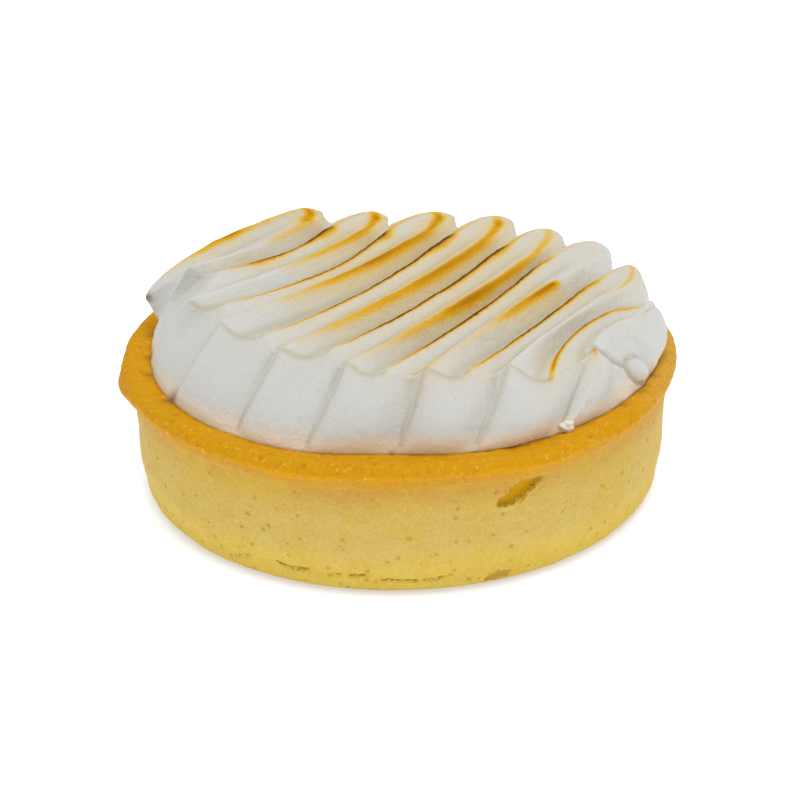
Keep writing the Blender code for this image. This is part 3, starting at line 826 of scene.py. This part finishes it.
def put(tree, kind, inputs=(), **settings):
    """Add a node, and set or link its inputs."""
    node = tree.nodes.new(kind)
    for name, value in settings.items():
        setattr(node, name, value)
    for name, value in dict(inputs).items():
        if isinstance(value, bpy.types.NodeSocket):
            tree.links.new(value, node.inputs[name])
        else:
            node.inputs[name].default_value = value
    return node


def reckon(tree, operation, *values):
    return put(tree, "ShaderNodeMath", enumerate(values), operation=operation).outputs[0]


def split(tree, socket):
    return put(tree, "ShaderNodeSeparateXYZ", {0: socket}).outputs


def grain(tree, place, size, detail=2.0, rough=0.5):
    """Cloudy noise around 0.5, with lumps of a size in millimetres."""
    return put(tree, "ShaderNodeTexNoise", {"Vector": place, "Scale": 1 / (size * MM), "Detail": detail,
                                            "Roughness": rough}).outputs["Fac"]


def ease(tree, value, low, high, to_low=0.0, to_high=1.0):
    return put(tree, "ShaderNodeMapRange", {"Value": value, "From Min": low, "From Max": high,
                                            "To Min": to_low, "To Max": to_high},
               interpolation_type="SMOOTHSTEP").outputs["Result"]


def tint(tree, share, below, above, blend="MIX"):
    """Mix two colours by a share from 0 to 1."""
    node = put(tree, "ShaderNodeMix", data_type="RGBA", blend_type=blend)
    for socket, value in ((node.inputs[0], share), (node.inputs[6], below), (node.inputs[7], above)):
        if isinstance(value, bpy.types.NodeSocket):
            tree.links.new(value, socket)
        else:
            socket.default_value = value
    return node.outputs[2]


def falling(tree, distance, width):
    """1 on a line, falling away to 0 beyond its half width."""
    share = reckon(tree, "DIVIDE", distance, width)
    return reckon(tree, "EXPONENT", reckon(tree, "MULTIPLY", reckon(tree, "MULTIPLY", share, share), -1.0))


def ramp(tree, value, stops):
    node = put(tree, "ShaderNodeValToRGB", {"Fac": value})
    elements = node.color_ramp.elements
    for number, (place, colour) in enumerate(stops):
        element = elements[number] if number < 2 else elements.new(place)
        element.position = place
        element.color = colour
    return node.outputs["Color"]


def raise_surface(tree, shader, height, distance, strength=1.0):
    node = put(tree, "ShaderNodeBump", {"Height": height, "Distance": distance * MM, "Strength": strength})
    tree.links.new(node.outputs["Normal"], shader.inputs["Normal"])


MERINGUE_WHITE = linear(209, 209, 204)
# Painted shade laid over the meringue's folds.
MERINGUE_PAINTED_FOLD_SHADE = linear(226, 222, 204)
# Tan of the meringue's foot, made lighter than the white: painted light against the shade where the
# meringue meets the rim.
MERINGUE_FOOT_TAN_AND_PAINTED_LIGHT = linear(246, 228, 200)
# Painted shade along the front edges, the creases and the last lobe's fold.
MERINGUE_PAINTED_SHADE = linear(178, 164, 124)
MERINGUE_GOLD = linear(206, 146, 44)
# Brown of burnt spots, also used for painted shade where the meringue meets the rim.
BURNT_AND_SHADE_BROWN = linear(112, 70, 34)


def meringue_material():
    material, tree, shader = start_material("torched meringue", 0.5)
    shader.inputs["Subsurface Weight"].default_value = 0.4
    shader.inputs["Subsurface Radius"].default_value = (1.0, 0.9, 0.8)
    shader.inputs["Subsurface Scale"].default_value = 1.2 * MM
    shader.inputs["Specular IOR Level"].default_value = 0.04
    place = put(tree, "ShaderNodeTexCoord").outputs["Object"]
    thin = split(tree, put(tree, "ShaderNodeAttribute", attribute_name="thin").outputs["Vector"])
    broad = split(tree, put(tree, "ShaderNodeAttribute", attribute_name="broad").outputs["Vector"])
    widths = split(tree, put(tree, "ShaderNodeAttribute", attribute_name="widths").outputs["Vector"])

    waver = reckon(tree, "MULTIPLY_ADD", grain(tree, place, 0.9, 3, 0.6), 0.36, -0.18)
    thin_distance = reckon(tree, "ADD", thin[0], waver)
    speckle = reckon(tree, "MULTIPLY_ADD", grain(tree, place, 0.45, 3, 0.7), 1.4, -0.7)
    broad_distance = reckon(tree, "ADD", broad[0], reckon(tree, "MULTIPLY", speckle, 0.8))

    thin_line = reckon(tree, "MULTIPLY", thin[1], falling(tree, thin_distance, 0.38))
    thin_width = reckon(tree, "MULTIPLY", widths[0], 1.6)
    broad_width = reckon(tree, "MULTIPLY", widths[1], 1.35)
    thin_glow = reckon(tree, "MULTIPLY", thin[2], falling(tree, thin_distance, thin_width))
    broad_glow = reckon(tree, "MULTIPLY", broad[2], falling(tree, broad_distance, broad_width))
    broad_dark = reckon(tree, "MULTIPLY", broad[1], falling(tree, broad_distance, widths[1]))
    thin_toast = reckon(tree, "MULTIPLY", thin[2], reckon(tree, "MULTIPLY_ADD", widths[0], 0.6, 0.4))
    broad_toast = reckon(tree, "MULTIPLY", broad[2], reckon(tree, "MULTIPLY_ADD", widths[1], 0.6, 0.4))
    thin_haze = reckon(tree, "MULTIPLY", thin_toast, falling(tree, thin[0], 3.5))
    broad_haze = reckon(tree, "MULTIPLY", broad_toast, falling(tree, broad[0], 4.0))

    haze = reckon(tree, "MULTIPLY", reckon(tree, "MAXIMUM", thin_haze, broad_haze), 0.27)
    glow = reckon(tree, "MULTIPLY", reckon(tree, "MAXIMUM", thin_glow, broad_glow), 0.72)
    dark = reckon(tree, "MULTIPLY", broad_dark, 0.35)
    line = reckon(tree, "MULTIPLY", thin_line, 0.9)
    toast = reckon(tree, "ADD", reckon(tree, "MAXIMUM", haze, glow), reckon(tree, "ADD", dark, line))
    burn = ramp(tree, toast, (
        (0.0, MERINGUE_WHITE),
        (1.0, linear(92, 60, 30)),
        (0.22, linear(218, 197, 150)),
        (0.42, linear(222, 178, 64)),
        (0.60, linear(214, 154, 2)),
        (0.80, linear(166, 106, 6)),
    ))

    # Painted shade: the fold colour darkens and warms the folds of the mesh.
    fold = ease(tree, widths[2], 0.004, 0.05)
    colour = tint(tree, reckon(tree, "MULTIPLY", fold, 0.8), burn, MERINGUE_PAINTED_FOLD_SHADE, "MULTIPLY")
    # Tan colour and painted light over the lowest few millimetres of the meringue.
    height = split(tree, place)[2]
    level = reckon(tree, "MULTIPLY_ADD", grain(tree, place, 2.5, 3), 2 * MM, height)
    colour = tint(tree, ease(tree, level, 23.0 * MM, 26.3 * MM, 0.7, 0.0), colour, MERINGUE_FOOT_TAN_AND_PAINTED_LIGHT)
    burns_and_painted_shade = split(tree, put(tree, "ShaderNodeAttribute", attribute_name="burns_and_painted_shade").outputs["Vector"])
    # Painted shade along the front edges, the creases and the last lobe's fold.
    colour = tint(tree, reckon(tree, "MULTIPLY", burns_and_painted_shade[2], 0.5), colour, MERINGUE_PAINTED_SHADE)
    spotty = ease(tree, speckle, -0.5, 0.3, 0.5)
    # Burnt spots, and painted shade at the meringue's foot.
    colour = tint(tree, reckon(tree, "MULTIPLY", burns_and_painted_shade[0], spotty), colour, BURNT_AND_SHADE_BROWN)
    colour = tint(tree, burns_and_painted_shade[1], colour, MERINGUE_GOLD)
    tree.links.new(colour, shader.inputs["Base Color"])
    fine = grain(tree, place, 0.5, 3, 0.6)
    crinkle = reckon(tree, "MULTIPLY_ADD", grain(tree, place, 1.6, 5, 0.7), 1.6, fine)
    raise_surface(tree, shader, crinkle, 0.20)
    return material


def plain_meringue_material():
    material, tree, shader = start_material("plain meringue", 0.5)
    shader.inputs["Specular IOR Level"].default_value = 0.3
    place = put(tree, "ShaderNodeTexCoord").outputs["Object"]
    colour = tint(tree, grain(tree, place, 0.8), linear(240, 236, 226), linear(228, 214, 192))
    tree.links.new(colour, shader.inputs["Base Color"])
    raise_surface(tree, shader, grain(tree, place, 0.4), 0.06)
    return material


def crust_material():
    material, tree, shader = start_material("baked shortcrust", 0.6)
    shader.inputs["Specular IOR Level"].default_value = 0.05
    place = put(tree, "ShaderNodeTexCoord").outputs["Object"]
    height = reckon(tree, "DIVIDE", split(tree, place)[2], CASE_HEIGHT * MM)
    drift = reckon(tree, "MULTIPLY_ADD", grain(tree, place, 5, 3, 0.6), 0.16, -0.08)
    baked = ramp(tree, reckon(tree, "ADD", height, drift), (
        (0.0, linear(206, 182, 88)),
        (1.0, linear(206, 151, 16)),
        (0.12, linear(206, 182, 90)),
        (0.35, linear(201, 179, 108)),
        (0.58, linear(198, 174, 104)),
        (0.70, linear(193, 163, 88)),
        (0.80, linear(186, 149, 72)),
        (0.88, linear(186, 142, 50)),
        (0.93, linear(202, 147, 22)),
    ))
    paler = reckon(tree, "MULTIPLY", ease(tree, split(tree, place)[0], 34 * MM, 43 * MM, 0.0, 0.7),
                   ease(tree, height, 0.86, 0.93))
    baked = tint(tree, paler, baked, linear(200, 160, 80))
    yellower = ease(tree, grain(tree, place, 7, 3, 0.6), 0.45, 0.65, 0.0, 0.4)
    yellower = reckon(tree, "MULTIPLY", yellower, ease(tree, height, 0.80, 0.88, 1.0, 0.0))
    colour = tint(tree, yellower, baked, linear(196, 172, 72))
    lip = ease(tree, height, 0.87, 0.94)
    mottle = ease(tree, grain(tree, place, 1.2, 4, 0.65), 0.48, 0.72, 0.0, 1.0)
    mottle = reckon(tree, "MULTIPLY", mottle, ease(tree, height, 0.70, 0.92, 0.12, 0.5))
    colour = tint(tree, mottle, colour, linear(186, 128, 14))
    # Pale specks on the lip: partly pale grains, partly painted glints.
    pale_grains_and_glints = reckon(tree, "MULTIPLY", ease(tree, grain(tree, place, 1.0, 4, 0.7), 0.56, 0.70), lip)
    colour = tint(tree, reckon(tree, "MULTIPLY", pale_grains_and_glints, 0.6), colour, linear(232, 190, 92))
    cells = put(tree, "ShaderNodeTexVoronoi", {"Vector": place, "Scale": 1 / (2.2 * MM)})
    pores = reckon(tree, "MULTIPLY_ADD", grain(tree, place, 3), 0.35, cells.outputs["Distance"])
    pore = ease(tree, pores, 0.22, 0.40, 1.0, 0.0)
    colour = tint(tree, reckon(tree, "MULTIPLY", pore, 0.55), colour, linear(172, 124, 40))
    sand = ramp(tree, grain(tree, place, 0.35, 2, 0.6), (
        (0.3, linear(190, 150, 70)),
        (0.7, linear(240, 220, 160)),
    ))
    colour = tint(tree, 0.4, colour, sand, "SOFT_LIGHT")
    marks = split(tree, put(tree, "ShaderNodeAttribute", attribute_name="marks").outputs["Vector"])
    ragged = reckon(tree, "MULTIPLY_ADD", grain(tree, place, 0.6, 4, 0.7), 3.2, -1.6)
    gouge = reckon(tree, "ADD", marks[0], ragged)
    # Painted shade along the gouge's edge; its floor is golden.
    colour = tint(tree, ease(tree, gouge, 0.0, 0.15, 0.0, 0.9), colour, linear(140, 98, 22))
    colour = tint(tree, ease(tree, gouge, 0.12, 0.35), colour, linear(192, 144, 10))
    crack = ease(tree, reckon(tree, "MULTIPLY_ADD", ragged, 1.4, marks[1]), 0.35, 0.6, 0.0, 0.8)
    colour = tint(tree, crack, colour, linear(158, 122, 16))
    chip = ease(tree, reckon(tree, "ADD", marks[2], ragged), 0.0, 0.25, 0.0, 0.75)
    colour = tint(tree, chip, colour, linear(176, 134, 50))
    burns_and_painted_shade = split(tree, put(tree, "ShaderNodeAttribute", attribute_name="burns_and_painted_shade").outputs["Vector"])
    # Burnt spots, and painted shade at the meringue's foot.
    colour = tint(tree, reckon(tree, "MULTIPLY", burns_and_painted_shade[0], 0.8), colour, BURNT_AND_SHADE_BROWN)
    # Painted shade along the line where the meringue meets the rim.
    contact_shade = reckon(tree, "MULTIPLY", burns_and_painted_shade[1], ease(tree, grain(tree, place, 1.5), 0.35, 0.6, 0.2, 0.9))
    colour = tint(tree, contact_shade, colour, BURNT_AND_SHADE_BROWN)
    tree.links.new(colour, shader.inputs["Base Color"])
    lift = reckon(tree, "ADD", grain(tree, place, 1.0, 4, 0.65), reckon(tree, "MULTIPLY", pore, -0.5))
    raise_surface(tree, shader, lift, 0.22)
    return material


def floor_material():
    """Pale paper with painted light: it glows more away from the tart, so that only the tart's own shade
    shows on it, and its blue-grey base offsets the crust's warm reflected light in that shade.
    """
    material, tree, shader = start_material("glowing pale floor", 0.9)
    shader.inputs["Base Color"].default_value = (0.56, 0.58, 0.66, 1.0)
    shader.inputs["Specular IOR Level"].default_value = 0.0
    shader.inputs["Emission Color"].default_value = (1.0, 1.0, 1.0, 1.0)
    place = put(tree, "ShaderNodeTexCoord").outputs["Object"]
    distance = put(tree, "ShaderNodeVectorMath", {0: place}, operation="LENGTH").outputs["Value"]
    tree.links.new(ease(tree, distance, 0.0405, 0.0465, 0.40, 1.0), shader.inputs["Emission Strength"])
    return material


# Surroundings

def make_floor():
    bpy.ops.object.select_all(action="DESELECT")
    bpy.ops.mesh.primitive_plane_add(size=6)
    floor = bpy.context.object
    floor.name = "floor"
    floor.data.materials.append(floor_material())


def make_light(name, place, power, size):
    bpy.ops.object.light_add(type="AREA", location=place)
    light = bpy.context.object
    light.name = name
    light.data.energy = power
    light.data.size = size
    light.rotation_euler = Vector(place).to_track_quat("Z", "Y").to_euler()


def make_surroundings():
    make_floor()
    make_light("soft box above", (0.06, -0.02, 0.50), 1.36, 0.35)
    make_light("soft box at the front", (0.0, -0.60, 0.28), 0.32, 0.5)
    world = bpy.data.worlds.new("studio")
    bpy.context.scene.world = world
    world.use_nodes = True
    world.node_tree.nodes["Background"].inputs["Color"].default_value = (1, 1, 1, 1)
    world.node_tree.nodes["Background"].inputs["Strength"].default_value = 0.54
    bpy.context.scene.view_settings.view_transform = "Standard"


def make_camera():
    bpy.ops.object.camera_add()
    camera = bpy.context.object
    camera.name = "camera"
    camera.data.sensor_width = 36
    camera.data.lens = 81.45
    camera.data.shift_y = -2.5 / 800
    camera.data.clip_start = 0.01
    back = Vector((0, -math.cos(CAMERA_ELEVATION), math.sin(CAMERA_ELEVATION)))
    facing = back.to_track_quat("Z", "Y").to_matrix() @ Matrix.Rotation(CAMERA_ROLL, 3, "Z")
    place = Vector(CAMERA_TARGET) + back * CAMERA_DISTANCE
    camera.matrix_world = Matrix.Translation(place) @ facing.to_4x4()
    bpy.context.scene.camera = camera


make_camera()
make_surroundings()
make_crust()
make_meringue()
make_crumb()
